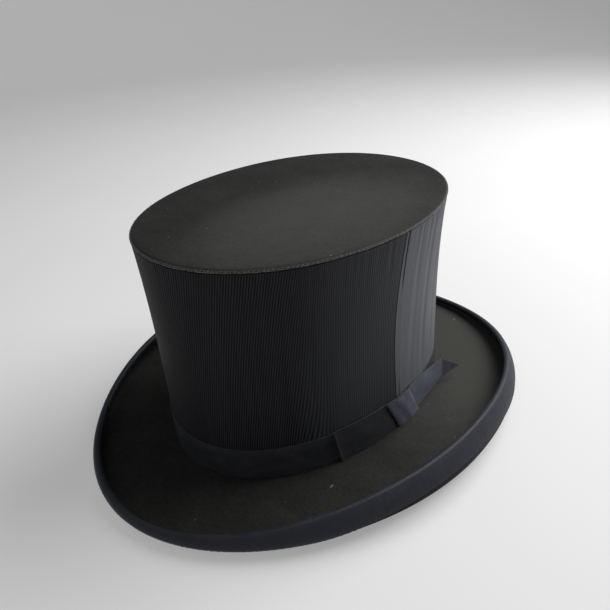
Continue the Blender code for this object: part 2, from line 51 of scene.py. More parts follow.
# the hat's main sizes in metres, as in the part's source
hat = dict(halfLength=0.1055, halfWidth=0.0797, squareness=0.010, junction=0.006657, saddle=0.0020,
           bandHeight=0.0225, bandTop=0.029157, clothTop=0.144157, tipTop=0.146957, gap=0.0003,
           tipLength=0.1068, tipWidth=0.0857, flarePower=3.0)
tau = 2 * np.pi


def tone(red, green, blue):
    # screen colour 0 to 255 to the linear colour a shader takes
    c = np.array((red, green, blue)) / 255
    return (*np.where(c <= 0.04045, c / 12.92, ((c + 0.055) / 1.055) ** 2.4), 1)


def smooth(low, high, x):
    # 0 below low, 1 above high, an S between them
    s = np.clip((x - low) / (high - low), 0, 1)
    return s * s * (3 - 2 * s)


def ripple(x, seed, count=5):
    # wandering wave: a sum of sines with seeded lengths and phases, about -1 to 1
    dice = np.random.default_rng(seed)
    lengths, phases = dice.uniform(0.6, 1.9, count), dice.uniform(0, tau, count)
    return sum(np.sin(tau * x * f + p) for f, p in zip(lengths, phases)) / count ** 0.5


# shapes

def ovalAt(halfLength, halfWidth, turn):
    # half sizes times sine and cosine of the turn, pushed out a little at the four corners
    corner = 1 + hat["squareness"] * (1 - np.cos(4 * turn)) / 2
    return halfWidth * np.cos(turn) * corner, halfLength * np.sin(turn) * corner


def headRow(inset, turn, height):
    # a ring at an inset from the hatband's outer face
    x, y = ovalAt(hat["halfLength"] - inset, hat["halfWidth"] - inset, turn)
    return np.stack(np.broadcast_arrays(x, y, height), -1)


def junctionAt(turn):
    # where the crown meets the brim: a saddle, higher at the sides
    return hat["junction"] + hat["saddle"] * np.cos(2 * turn)


def lengths(path, closed):
    # distance run along a path at each of its points
    path = np.concatenate([path, path[:1]]) if closed else path
    return np.concatenate([[0], np.cumsum(np.linalg.norm(np.diff(path, axis=0), axis=-1))])


def gridShape(name, points, finish, across, along, facing, rim=None, spread=None):
    # points is rows x columns x 3, or copies x rows x columns x 3; across and along say which way it closes
    copies = points if points.ndim == 4 else points[None]
    count, rows, cols = copies.shape[:3]
    a, b = np.meshgrid(np.arange(rows if across else rows - 1), np.arange(cols if along else cols - 1), indexing="ij")
    a1, b1 = (a + 1) % rows, (b + 1) % cols
    quads = np.stack([a * cols + b, a * cols + b1, a1 * cols + b1, a1 * cols + b], -1).reshape(-1, 4)
    faces = (np.arange(count)[:, None, None] * rows * cols + quads).reshape(-1, 4)
    flat = copies.reshape(-1, 3)
    # uv in metres: u runs along the middle row, v across one column, or both as given
    u, v = spread or (lengths(copies[0, rows // 2], along), lengths(copies[0][:, cols // 3], across))
    uv = np.stack([np.stack([u[b], u[b + 1], u[b + 1], u[b]], -1),
                   np.stack([v[a], v[a], v[a + 1], v[a + 1]], -1)], -1)
    uv = np.broadcast_to(uv.reshape(1, -1, 4, 2), (count, a.size, 4, 2)).reshape(-1, 4, 2)
    p0, p1, p2, p3 = (flat[faces[:, k]] for k in range(4))
    if facing is None:  # closed: outwards is where the volume is positive
        volume = np.einsum("ij,ij->", p0, np.cross(p1, p2)) + np.einsum("ij,ij->", p0, np.cross(p2, p3))
        outward = volume > 0
    else:
        outward = np.einsum("ij,ij->", np.cross(p2 - p0, p3 - p1), facing((p0 + p2) / 2)) > 0
    if not outward:
        faces, uv = faces[:, ::-1], uv[:, ::-1]
    mesh = bpy.data.meshes.new(name)
    mesh.from_pydata(flat, [], faces.tolist())
    mesh.uv_layers.new(name="cloth").data.foreach_set("uv", np.ascontiguousarray(uv, dtype=np.float32).ravel())
    mesh.materials.append(finish)
    if rim is not None:  # the rows at both edges and the columns at both ends take the second finish
        mesh.materials.append(rim)
        cut = (a % (rows // 2) == rows // 2 - 1) | (b == 0) | (b == cols - 2)
        mesh.polygons.foreach_set("material_index", cut.astype(np.int32).ravel())
    mesh.shade_smooth()
    shape = bmesh.new()
    shape.from_mesh(mesh)
    bmesh.ops.remove_doubles(shape, verts=shape.verts, dist=1e-7)  # closes poles
    shape.to_mesh(mesh)
    shape.free()
    mesh.set_sharp_from_angle(angle=np.radians(50))
    piece = bpy.data.objects.new(name, mesh)
    bpy.context.scene.collection.objects.link(piece)
    return piece


def gridPiece(name, points, finish, body, across=False, along=True, facing=None, rim=None, spread=None):
    piece = gridShape(name, points, finish, across, along, facing, rim, spread)
    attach(piece, body)
    return piece


def strip(face, thickness):
    # a ribbon from its face: the back lies behind by the thickness along the normal, and both ends draw together
    normal = np.cross(np.gradient(face, axis=0), np.gradient(face, axis=1))
    normal = normal / np.linalg.norm(normal, axis=-1, keepdims=True)
    normal = normal * np.sign(np.sum(normal * face * (1, 1, 0)))
    back, middle = face - thickness * normal, face - thickness / 2 * normal
    front, behind = (np.concatenate([middle[:, :1], side, middle[:, -1:]], 1) for side in (face, back))
    return np.concatenate([front, behind[::-1]])


def tube(path, radius, sides, closed):
    # a round rod along each path: rings of the radius about its tangent; path is copies x points x 3
    step = np.roll(path, -1, 1) - np.roll(path, 1, 1) if closed else np.gradient(path, axis=1)
    step = step / np.linalg.norm(step, axis=-1, keepdims=True)
    up = np.broadcast_to(np.array((0.013, 0.021, 1.0)), step.shape)
    aside = np.cross(step, up)
    aside = aside / np.linalg.norm(aside, axis=-1, keepdims=True)
    over = np.cross(aside, step)
    turn = np.linspace(0, tau, sides, endpoint=False)[:, None]
    ring = np.cos(turn) * aside[:, :, None] + np.sin(turn) * over[:, :, None]
    return path[:, :, None] + radius[..., None, None] * ring


def outAndBack(out, back, power=1.0):
    # a column of shares, 0 to 1 on the outer face and 1 to 0 on the inner one, and which rows are outer
    share = np.concatenate([np.linspace(0, 1, out) ** power, np.linspace(1, 0, back) ** power])[:, None]
    return share, (np.arange(out + back) < out)[:, None]


# finishes

class Wire:
    # an output socket; arithmetic on it adds Math nodes
    def __init__(self, socket):
        self.socket = socket

    def node(self, kind, settings=(), inputs=(), output=0):
        tree = self.socket.id_data
        made = tree.nodes.new(kind)
        for key, value in dict(settings).items():
            setattr(made, key, value)
        for key, value in dict(inputs).items():
            if isinstance(value, Wire):
                tree.links.new(value.socket, made.inputs[key])
            else:
                made.inputs[key].default_value = value
        return Wire(made.outputs[output])

    def math(self, kind, *values):
        return self.node("ShaderNodeMath", dict(operation=kind), dict(enumerate(values)))

    def __add__(self, other): return self.math("ADD", self, other)
    def __radd__(self, other): return self.math("ADD", other, self)
    def __sub__(self, other): return self.math("SUBTRACT", self, other)
    def __rsub__(self, other): return self.math("SUBTRACT", other, self)
    def __mul__(self, other): return self.math("MULTIPLY", self, other)
    def __rmul__(self, other): return self.math("MULTIPLY", other, self)
    def __truediv__(self, other): return self.math("DIVIDE", self, other)
    def __rtruediv__(self, other): return self.math("DIVIDE", other, self)
    def __pow__(self, other): return self.math("POWER", self, other)
    def __abs__(self): return self.math("ABSOLUTE", self)

    def part(self, axis):
        # one axis of a vector
        return self.node("ShaderNodeSeparateXYZ", {}, {0: self}, axis)

    def wave(self):
        # sine of whole turns, 0 to 1
        return self.math("SINE", self * tau) * 0.5 + 0.5

    def between(self, low, high):
        # 0 below low and 1 above high
        kind = dict(interpolation_type="SMOOTHSTEP")
        return self.node("ShaderNodeMapRange", kind, {"Value": self, "From Min": low, "From Max": high})

    def blend(self, a, b):
        # colour a where this is 0, colour b where it is 1
        return self.node("ShaderNodeMix", dict(data_type="RGBA"), {0: self, 6: a, 7: b}, 2)

    def stretch(self, x, y, z):
        return self.node("ShaderNodeMapping", {}, {"Vector": self, "Scale": (x, y, z)})

    def noise(self, scale, detail=3.0, rough=0.55):
        values = {"Vector": self, "Scale": scale, "Detail": detail, "Roughness": rough}
        return self.node("ShaderNodeTexNoise", {}, values)

    def specks(self, scale, share, size):
        # small dots: cells nearer than size to their seed, kept for a share of the cells
        kind = dict(voronoi_dimensions="3D", feature="F1")
        spot = self.node("ShaderNodeTexVoronoi", kind, {"Vector": self, "Scale": scale}, "Distance")
        pick = self.node("ShaderNodeTexVoronoi", kind, {"Vector": self, "Scale": scale}, "Color")
        pick = pick.node("ShaderNodeSeparateColor", {}, {0: pick}, 0)
        return (1 - spot.between(size * 0.5, size)) * pick.between(1 - share, 1 - share + 0.01)


def newFinish(name, **constants):
    # an empty material: its shader, its place in metres and its uv wires
    made = bpy.data.materials.new(name)
    made.use_nodes = True
    shader = made.node_tree.nodes["Principled BSDF"]
    for key, value in constants.items():
        shader.inputs[key].default_value = value
    coords = made.node_tree.nodes.new("ShaderNodeTexCoord")
    return made, shader, Wire(coords.outputs["Object"]), Wire(coords.outputs["UV"])


def setFinish(shader, colour, roughness, bump=None, strength=0.3, depth=0.0003):
    tree = shader.id_data
    tree.links.new(colour.socket, shader.inputs["Base Color"])
    tree.links.new(roughness.socket, shader.inputs["Roughness"])
    if bump is not None:
        relief = bump.node("ShaderNodeBump", {}, {"Height": bump, "Strength": strength, "Distance": depth})
        tree.links.new(relief.socket, shader.inputs["Normal"])


# the palest tone is a painted sheen, the colour of the window-lit cloth behind the seam
silk = dict(rib=0.0014, dark=tone(11, 11, 12), light=tone(57, 58, 61), paintedSheenTone=tone(124, 126, 131), seam=tone(9, 9, 10),
            girth=0.5815, tall=0.1375, seamBow=0.0030, bowPower=1.6, seamShift=0.0016, lean=0.15)


def ribbedSilk():
    made, shader, place, uv = newFinish("ribbedSilk", **{
        "Sheen Weight": 0.03, "Sheen Roughness": 0.3, "Specular IOR Level": 0.08})
    u = uv.part(0)
    v = uv.part(1)
    # the seam bows forward at mid height; side is the distance behind it
    rise = v * (np.pi / silk["tall"])
    arch = rise.math("SINE", rise)
    bowed = u - silk["seamShift"] + arch.math("MAXIMUM", arch, 0.0) ** silk["bowPower"] * silk["seamBow"]
    turn = bowed / silk["girth"] + 0.5
    side = (turn.math("FRACT", turn) - 0.5) * silk["girth"]
    # painted light: the cloth from 35 mm ahead of the seam to 20 mm behind it, fading out by 80 mm ahead and 60 mm
    # behind, is the band the window light falls on
    paintedLitBand = side.between(-0.080, -0.035) * (1 - side.between(0.02, 0.06))
    # ribs lean where the cloth is pulled round the front, and flatten out towards the seam
    pulled = side.between(-0.17, -0.12) * (1 - side.between(-0.075, -0.045)) * silk["lean"]
    drift = uv.stretch(60, 14, 1).noise(1.0, 2.0)
    rib = ((u - pulled * (v - 0.1)) / silk["rib"] + drift * 0.5).wave()
    streak = uv.stretch(420, 9, 1).noise(1.0, 4.0)
    cloud = uv.stretch(22, 12, 1).noise(1.0, 2.0)
    # painted light and shade: the band by the seam is mixed lighter, and the cloth further round darker
    mix = (rib * (0.85 - paintedLitBand * 0.5) + streak * 0.55 - 0.30 + paintedLitBand * 0.72) * (0.65 + cloud * 0.7)
    colour = mix.blend(silk["dark"], silk["light"])
    # painted sheen: the cloth behind the seam, up to 170 mm round, is drawn paler where the window light grazes it
    paintedSheenMask = side.between(-0.0002, 0.0006) * (1 - side.between(0.06, 0.17)) * (0.55 + cloud * 0.5)
    colour = paintedSheenMask.blend(colour, (rib * 0.22 + streak * 0.45 + 0.2).blend(silk["light"], silk["paintedSheenTone"]))
    colour = (1 - abs(side).between(0.0002, 0.0007)).blend(colour, silk["seam"])
    setFinish(shader, colour, 0.52 + streak * 0.18, rib + streak * 0.4, 0.4, 0.00022)
    return made


# the oval patch on the tip is a painted pool of light; the last value paints the brim lighter towards the window light
felt = dict(dark=tone(15, 15, 15), light=tone(51, 51, 49), lint=tone(140, 138, 130),
            litPatch=(0.034, -0.018), litPatchSize=(0.072, 0.105), rubAndLight=0.8, windowLight=0.9)


def feltCloth(name, shape):
    made, shader, place, uv = newFinish(name, **{
        "Sheen Weight": 0.02, "Sheen Roughness": 0.5, "Specular IOR Level": 0.10})
    nap = place.noise(1500, 4.0, 0.75)
    grain = place.noise(520, 3.0, 0.6)
    patch = place.noise(38, 4.0, 0.6)
    mix = nap * 0.7 + grain * 0.7 + patch * 0.6 - 0.5
    x = place.part(0)
    y = place.part(1)
    if shape == "tip":  # painted light: an oval patch a little to the wearer's left and front pales the nap, a painted pool of light
        (middleX, middleY), (sizeX, sizeY) = felt["litPatch"], felt["litPatchSize"]
        away = ((x - middleX) / sizeX) ** 2 + ((y - middleY) / sizeY) ** 2
        mix = mix + (0.5 - away.between(0.0, 1.1)) * felt["rubAndLight"]
    if shape == "brim":  # painted light and shade: darker at the front, where the crown's shadow falls, lighter to the left and rear, towards the window light
        mix = mix - 0.15 + (x * 0.6 + y * 0.8).between(0.03, 0.13) * felt["windowLight"]
    colour = mix.blend(felt["dark"], felt["light"])
    # lint: round specks, and short hairs lying both ways
    lint = place.specks(230, 0.07, 0.13) * 0.4 + place.stretch(1, 0.35, 1).specks(150, 0.03, 0.11) * 0.4
    lint = lint + place.stretch(0.3, 1, 1).specks(170, 0.02, 0.10) * 0.35
    colour = lint.blend(colour, felt["lint"])
    setFinish(shader, colour, 0.78 + nap * 0.15, nap + grain, 0.45, 0.0003)
    return made


# the bow's tones are a lighter copy of the band's ribbon: painted light where the knot and tail face the window
ribbon = dict(rib=0.0010, dark=tone(21, 21, 23), light=tone(62, 63, 68), edge=tone(9, 9, 10),
              bindDark=tone(13, 15, 19), bindLight=tone(39, 44, 54), bindLean=0.45,
              litBowDark=tone(36, 37, 42), litBowLight=tone(108, 112, 124))


def grosgrain(name, dark, light, lean=0.0):
    # ribs across the ribbon, leaning by the given run for each metre of width
    made, shader, place, uv = newFinish(name, **{
        "Sheen Weight": 0.04, "Sheen Roughness": 0.4, "Sheen Tint": tone(170, 185, 205), "Specular IOR Level": 0.22})
    u = uv.part(0)
    v = uv.part(1)
    rib = ((u + v * lean) / ribbon["rib"] + uv.stretch(90, 90, 1).noise(1.0, 2.0) * 0.6).wave()
    cloud = uv.stretch(60, 180, 1).noise(1.0, 3.0)
    mix = rib * 0.5 + cloud * 0.7 - 0.1
    colour = mix.blend(dark, light)
    setFinish(shader, colour, 0.42 + cloud * 0.2, rib + cloud * 0.3, 0.4, 0.00025)
    return made


def satin():
    made, shader, place, uv = newFinish("blackSatin", **{"Specular IOR Level": 0.6, "Sheen Weight": 0.05})
    warp = uv.stretch(2400, 40, 1).noise(1.0, 2.0)
    cloud = place.noise(30, 3.0)
    colour = (warp * 0.5 + cloud * 0.6 - 0.05).blend(tone(14, 14, 16), tone(34, 34, 38))
    setFinish(shader, colour, 0.24 + cloud * 0.16, warp, 0.2, 0.00015)
    return made


def leather():
    made, shader, place, uv = newFinish("sweatbandLeather", **{"Specular IOR Level": 0.45})
    kind = dict(feature="DISTANCE_TO_EDGE")
    grain = place.node("ShaderNodeTexVoronoi", kind, {"Vector": place, "Scale": 700.0}, "Distance")
    crease = grain.between(0.0, 0.12)
    cloud = place.noise(45, 4.0)
    colour = (crease * 0.45 + cloud * 0.7 - 0.1).blend(tone(52, 34, 24), tone(104, 72, 50))
    setFinish(shader, colour, 0.62 - crease * 0.15 + cloud * 0.12, crease, 0.35, 0.0002)
    return made


def springSteel():
    made, shader, place, uv = newFinish("springSteel", Metallic=1.0)
    cloud = place.noise(260, 4.0)
    rubAndLight = place.stretch(1, 1, 6).noise(800, 3.0)
    colour = (cloud * 0.6 + rubAndLight * 0.4).blend(tone(120, 120, 122), tone(178, 178, 178))
    setFinish(shader, colour, 0.28 + rubAndLight * 0.22, rubAndLight, 0.12, 0.0001)
    return made


def board():
    made, shader, place, uv = newFinish("stiffenedBoard", **{"Specular IOR Level": 0.3})
    weave = (place.stretch(1400, 1400, 1400).noise(1.0, 2.0) * 0.6 + place.noise(60, 4.0) * 0.6)
    colour = weave.blend(tone(70, 54, 36), tone(128, 104, 74))
    setFinish(shader, colour, 0.6 + weave * 0.2, weave, 0.3, 0.0002)
    return made


def thread(name, low, high):
    made, shader, place, uv = newFinish(name, **{"Sheen Weight": 0.1})
    twist = (uv.part(0) / 0.0006).wave()
    patch = place.noise(300, 3.0)
    colour = (twist * 0.3 + patch * 0.9 - 0.1).blend(low, high)
    setFinish(shader, colour, 0.7 + patch * 0.2, twist, 0.3, 0.0001)
    return made


silkFinish, feltFinish, tipFinish = ribbedSilk(), feltCloth("brimFelt", "brim"), feltCloth("tipFelt", "tip")
bandFinish = grosgrain("grosgrainBand", ribbon["dark"], ribbon["light"])
# knot and tail: the band's ribbon drawn lighter, as painted light
litBowFinish = grosgrain("grosgrainBowLit", ribbon["litBowDark"], ribbon["litBowLight"])
bindFinish = grosgrain("grosgrainBinding", ribbon["bindDark"], ribbon["bindLight"], ribbon["bindLean"])
satinFinish, leatherFinish, steelFinish, boardFinish = satin(), leather(), springSteel(), board()
# the ribbons' edges and cut ends are drawn darker than their face
edgeFinish = thread("ribbonEdge", ribbon["edge"], ribbon["dark"])
edgeThread = thread("edgeThread", tone(58, 57, 52), tone(150, 146, 134))
seatThread = thread("sweatbandThread", tone(150, 130, 100), tone(205, 188, 158))
print("finishes made")

# crown cloth

crown = dict(cols=560, rows=96, inset=0.0009, thickness=0.0007, pucker=0.00030, puckerReach=0.013, crease=0.00016,
             lap=0.00020, lapReach=0.006, groove=0.00012, grooveWidth=0.0006, hoopLap=0.0070, hoopRows=9,
             collarGap=0.00005)


def crownHalves(height):
    # half sizes of the cloth: drawn in above the band, flaring towards the tip with the cube of the height
    share = np.clip((height - hat["bandTop"]) / (hat["clothTop"] - hat["bandTop"]), 0, 1) ** hat["flarePower"]
    length, width = hat["halfLength"] - crown["inset"], hat["halfWidth"] - crown["inset"]
    return (length + (hat["tipLength"] - hat["gap"] - length) * share,
            width + (hat["tipWidth"] - hat["gap"] - width) * share)


def crownCloth():
    # outer face from the brim to the tip, then the inner face back, closed as a loop all the way round
    turn = np.linspace(0, tau, crown["cols"], endpoint=False)
    share = np.linspace(0, 1, crown["rows"])[:, None] ** 0.9
    foot = junctionAt(turn) + hat["gap"]
    # rows run from the saddle at the foot to a level line under the hoop, then to the level top
    split = crown["rows"] - crown["hoopRows"]
    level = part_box("upper_hoop")[0][2] - crown["hoopLap"]
    height = np.where(share < share[split], foot + (level - foot) * share / share[split],
                      level + (hat["clothTop"] - level) * (share - share[split]) / (1 - share[split]))
    length, width = crownHalves(height)
    angle = (turn + np.pi) % tau - np.pi
    rise = np.clip(np.sin(np.pi * (height - hat["junction"]) / silk["tall"]), 0, 1) ** silk["bowPower"]
    reach = angle * hat["halfLength"] * 0.99 - silk["seamShift"] + silk["seamBow"] * rise  # metres behind the seam
    below = hat["clothTop"] - height
    above = smooth(hat["bandTop"] + 0.002, hat["bandTop"] + 0.03, height)
    # puckers under the stitched tip: short upright waves that fade downwards, strongest by the seam
    close = 0.35 + 0.65 * np.exp(-(angle - 0.25) ** 2 / 0.35)
    fading = np.exp(-below / crown["puckerReach"]) * smooth(0, 0.002, below)
    lift = crown["pucker"] * close * ripple(turn * 14, 3) * fading
    # slack cloth behind the seam: long upright folds
    slack = smooth(0.02, 0.12, angle) * (1 - smooth(0.9, 1.3, angle))
    lift = lift + crown["crease"] * slack * ripple(turn * 7 + below * 4, 8) * above
    # lapped seam: the rear edge stands on the front one and sinks back beyond it
    sinking = np.exp(-np.maximum(reach, 0) / crown["lapReach"])
    lift = lift + crown["lap"] * smooth(-0.0003, 0.0005, reach) * sinking * above
    lift = lift - crown["groove"] * np.exp(-(reach / crown["grooveWidth"]) ** 2) * above
    x, y = ovalAt(length + lift, width + lift, turn)
    outer = np.stack([x, y, height], -1)
    x, y = ovalAt(length - crown["thickness"], width - crown["thickness"], turn)
    inner = np.stack([x, y, height], -1)
    u, v = lengths(outer[crown["rows"] // 2], True), lengths(outer[:, crown["cols"] // 3], False)
    # the cloth over the hoop rides with the tip; the rest is held by the base
    made = []
    parted = (("crownCloth", "base", 0, split), ("crownCollar", "top", split, crown["rows"] - 1))
    for name, body, first, last in parted:
        back = np.linspace(last, first, max(3, (last - first) // 10)).astype(int)
        points = np.concatenate([outer[first:last + 1], inner[back]])
        spread = u, np.concatenate([v[first:last + 1], v[back], v[first:first + 1]])
        made.append(gridPiece(name, points, silkFinish, body, across=True, spread=spread))
    cloth, collar = made
    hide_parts("crown_cloth")
    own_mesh(cloth)


crownCloth()
print("crown cloth made")

# tip: felted cover, rolled edge and its stitches

tip = dict(cols=400, rows=46, inset=0.0010, thickness=0.0007, dish=0.0002, swell=0.00012, shoulder=0.0006,
           shoulderReach=0.0008, sink=0.0001, welt=0.0008, weltDrop=0.0016,
           stitches=250, stitch=0.00017, stitchRun=0.0052, stitchStand=1.10)


def tipCover():
    # disc of rings from the rim to the middle on top, and back to the rim underneath; dished, with a rounded shoulder
    turn = np.linspace(0, tau, tip["cols"], endpoint=False)
    share = np.concatenate([1 - np.linspace(0, 1, tip["rows"]) ** 1.6, np.linspace(0, 1, 8)])[:, None]
    under = (np.arange(len(share)) >= tip["rows"])[:, None]
    x, y = ovalAt((hat["tipLength"] - tip["inset"]) * share, (hat["tipWidth"] - tip["inset"]) * share, turn)
    swell = tip["swell"] * ripple(x * 17 + y * 9, 4) * (1 - share ** 4)
    rim = (1 - share) * hat["tipWidth"]
    shoulder = tip["shoulder"] * np.exp(-rim / tip["shoulderReach"])
    height = hat["tipTop"] - tip["dish"] * (1 - share ** 2) + swell - shoulder - tip["sink"]
    height = height - np.where(under, tip["thickness"], 0)
    points = np.stack(np.broadcast_arrays(x, y, height), -1)
    piece = gridPiece("tipCover", points, tipFinish, "top", across=True)
    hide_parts("tip_cover")


def tipWelt():
    # rolled edge round the tip
    turn = np.linspace(0, tau, 480, endpoint=False)
    radius = tip["welt"]
    x, y = ovalAt(hat["tipLength"] - radius, hat["tipWidth"] - radius, turn)
    path = np.stack([x, y, np.full_like(x, hat["tipTop"] - tip["weltDrop"])], -1)[None]
    wobble = radius * (1 + 0.05 * ripple(turn * 30, 6))[None]
    ring = tube(path, wobble, 16, True)[0]
    piece = gridPiece("tipWelt", np.swapaxes(ring, 0, 1), weltFinish(), "top", across=True)
    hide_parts("tip_welt")


def tipStitches():
    # short threads over the welt's shoulder, uneven in place, length and slope
    radius = tip["welt"]
    dice = np.random.default_rng(11)
    count = tip["stitches"]
    at = np.linspace(0, tau, count, endpoint=False)[:, None] + dice.normal(0, 0.0015, (count, 1))
    lean = np.linspace(-1, 1, 5)
    size = dice.uniform(0.55, 1.1, (count, 1))
    shoulder = np.radians(22 + dice.normal(0, 9, (count, 1)) + 26 * lean * size)
    turnAt = at + lean * tip["stitchRun"] * size
    reach = radius * tip["stitchStand"] * np.cos(shoulder)
    x, y = ovalAt(hat["tipLength"] - radius + reach, hat["tipWidth"] - radius + reach, turnAt)
    height = hat["tipTop"] - tip["weltDrop"] + radius * tip["stitchStand"] * np.sin(shoulder)
    path = np.stack([x, y, height], -1)
    girth = tip["stitch"] * np.sqrt(np.clip(1 - lean ** 2, 0, 1)) * np.ones((count, 1))
    rods = np.swapaxes(tube(path, girth, 6, False), 1, 2)
    gridPiece("tipStitches", rods, edgeThread, "top", across=True, along=False)


def weltFinish():
    # felt all round, with a dusty pale line on the shoulder
    made, shader, place, uv = newFinish("tipEdge", **{"Sheen Weight": 0.1, "Specular IOR Level": 0.3})
    v = uv.part(1) / (tau * tip["welt"])
    fuzz = uv.stretch(500, 900, 1).noise(1.0, 4.0)
    patch = uv.stretch(30, 1, 1).noise(1.0, 3.0)
    base = (place.noise(1500, 3.0) * 0.8).blend(felt["dark"], felt["light"])
    line = v.between(0.93, 0.97) + (1 - v.between(0.02, 0.05))
    dust = line * fuzz.between(0.35, 0.62) * patch.between(0.25, 0.6) * 0.85
    colour = dust.blend(base, tone(150, 146, 136))
    setFinish(shader, colour, 0.75 + fuzz * 0.15, fuzz, 0.4, 0.0002)
    return made


tipCover()
tipWelt()
tipStitches()
print("tip made")

# hatband and bow

band = dict(thickness=0.0006, roll=0.00018, rollReach=0.0005, unevenness=0.00006)
# angles in degrees round the crown from the wearer's left, lengths in metres
bow = dict(lift=0.0009, thickness=0.0006, rise=0.0022, knotStart=-4.5, knotEnd=8.2, slant=6.0,
           wingTop=-29.8, wingFoot=-27.3, endLift=0.0008, wingPuff=0.0005, bulge=0.0016, knotFold=0.00016,
           tailLength=0.0384, tailRise=0.0007, tailPuff=0.0007, creaseHeight=0.0127, taper=1.7,
           pointLength=0.0132, pointFlare=0.0063, pointRise=0.0041, pointHeight=0.0012)


def hatband():
    # outer face, top edge, inner face and foot, closed as a loop, with a soft roll at both edges
    turn = np.linspace(0, tau, 480, endpoint=False)
    share, outer = outAndBack(15, 5)
    foot = junctionAt(turn) + hat["gap"]
    height = foot + (junctionAt(turn) + hat["bandHeight"] - foot) * share
    edge = np.minimum(share, 1 - share) * hat["bandHeight"]
    soft = band["roll"] * np.exp(-edge / band["rollReach"]) + band["unevenness"] * ripple(turn * 6 + share * 2, 2)
    points = headRow(np.where(outer, soft, band["thickness"]), turn, height)
    piece = gridPiece("hatBand", points, bandFinish, "base", across=True)
    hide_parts("hatband")


def bowPoint(turn, share, standing):
    # on the hatband: share of its height, standing off its face
    height = junctionAt(turn) + hat["gap"] + share * (hat["bandHeight"] - hat["gap"])
    return headRow(-standing, turn, height)


def bowPieces():
    # three ribbons on the band: each face is a grid of its height share against its run, made solid by strip
    edge = bow["lift"] / hat["halfLength"]
    high = 1 + bow["rise"] / hat["bandHeight"]  # the bow's ribbon is a little wider than the band
    slant = lambda angle, share: np.radians(angle + bow["slant"] * (0.5 - share))
    share = np.linspace(0, high, 14)[:, None]
    step = np.linspace(0, 1, 44)
    # front wing: flat on the band, its cut end slanting and lifting a little
    start = np.radians(bow["wingTop"] + (bow["wingFoot"] - bow["wingTop"]) * (1 - share))
    turn = start + (slant(bow["knotStart"], share) - edge - start) * step
    puff = bow["endLift"] * np.exp(-step / 0.06)
    puff = puff + bow["wingPuff"] * np.sin(np.pi * step) * np.sin(np.pi * share / high) ** 2
    wing = bowPoint(turn, share, bow["lift"] + puff)
    # knot: a slanted strap that bulges over the bow, with soft folds along it and its foot full
    share = np.linspace(-0.02, high + 0.02, 22)[:, None]
    turn = slant(bow["knotStart"] + (bow["knotEnd"] - bow["knotStart"]) * step, share)
    arch = np.sin(np.pi * step) ** 0.5
    puff = bow["bulge"] * arch * (0.72 + 0.28 * np.sin(np.pi * np.clip(share / high, 0, 1)))
    puff = puff + bow["knotFold"] * np.sin(step * 13 + share * 2.5) * arch
    knot = bowPoint(turn, share, bow["lift"] + bow["thickness"] + puff)
    # rear tail: straight off the crown, falling to a crease, then a small point that turns outwards
    share = np.linspace(0, 1, 14)[:, None]
    foot = slant(bow["knotEnd"], 0) + edge
    first = bowPoint(np.array(foot), 0.0, bow["lift"])
    ahead = (bowPoint(np.array(foot + 0.01), 0.0, bow["lift"]) - first) * (1, 1, 0)
    ahead = ahead / np.linalg.norm(ahead)
    aside = np.array((ahead[1], -ahead[0], 0))
    up = np.array((0, 0, 1.0))
    crease = first + ahead * bow["tailLength"] + up * bow["tailRise"]
    point = crease + ahead * bow["pointLength"] + aside * bow["pointFlare"]
    point[2] = first[2] + bow["pointRise"]
    root = bowPoint(slant(bow["knotEnd"], share * high) + edge, share * high, bow["lift"])
    fold = (crease + up * (share * (bow["creaseHeight"] + bow["rise"])))[:, None]
    end = (point + up * (share * bow["pointHeight"]))[:, None]
    t = np.linspace(0, 1, 30)[None, :, None]
    run = root + (fold - root) * t
    run[..., 2] = root[..., 2] + (fold - root)[..., 2] * t[..., 0] ** (1 + (bow["taper"] - 1) * share)
    run = run + aside * (bow["tailPuff"] * np.sin(np.pi * t) * np.sin(np.pi * share)[..., None])
    beyond = np.linspace(0, 1, 14)[None, 1:, None]
    tail = np.concatenate([run, fold + (end - fold) * beyond], 1)
    # the front wing takes the band's ribbon; the knot and tail take its lighter copy, painted light
    flats = (("bowFrontWing", wing, bandFinish, "bow_front_wing", (0.0392, 0.0244), None),
             ("bowKnot", knot, litBowFinish, "bow_knot", (0.0190, 0.0254), None),
             ("bowRearTail", tail, litBowFinish, "bow_rear_tail", (0.0540, 0.0244), 0.00099))
    for name, face, finish, node, flat, area in flats:
        piece = gridPiece(name, strip(face, bow["thickness"]), finish, "base",
                          across=True, along=False, rim=edgeFinish)
        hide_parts(node)


hatband()
bowPieces()
print("band and bow made")

# brim

# pairs are at the front and rear, and at the sides
brim = dict(cols=480, halfStack=0.0013, rootInset=0.0034, rootReach=0.029, rootDrop=0.0005,
            curlReach=(0.057, 0.069), curlDrop=(0.0088, 0.0092), edgeReach=(0.0532, 0.0481), edgeRise=(0.0004, 0.0189),
            quarterTrim=0.0035, board=0.0010, coverOffset=0.0008, cover=0.0005, unevenness=0.00010,
            bindCols=640, bindOffset=0.0016, ribbon=0.0006, bindUnder=0.0115, bindOver=0.0065, bindWobble=0.00008)


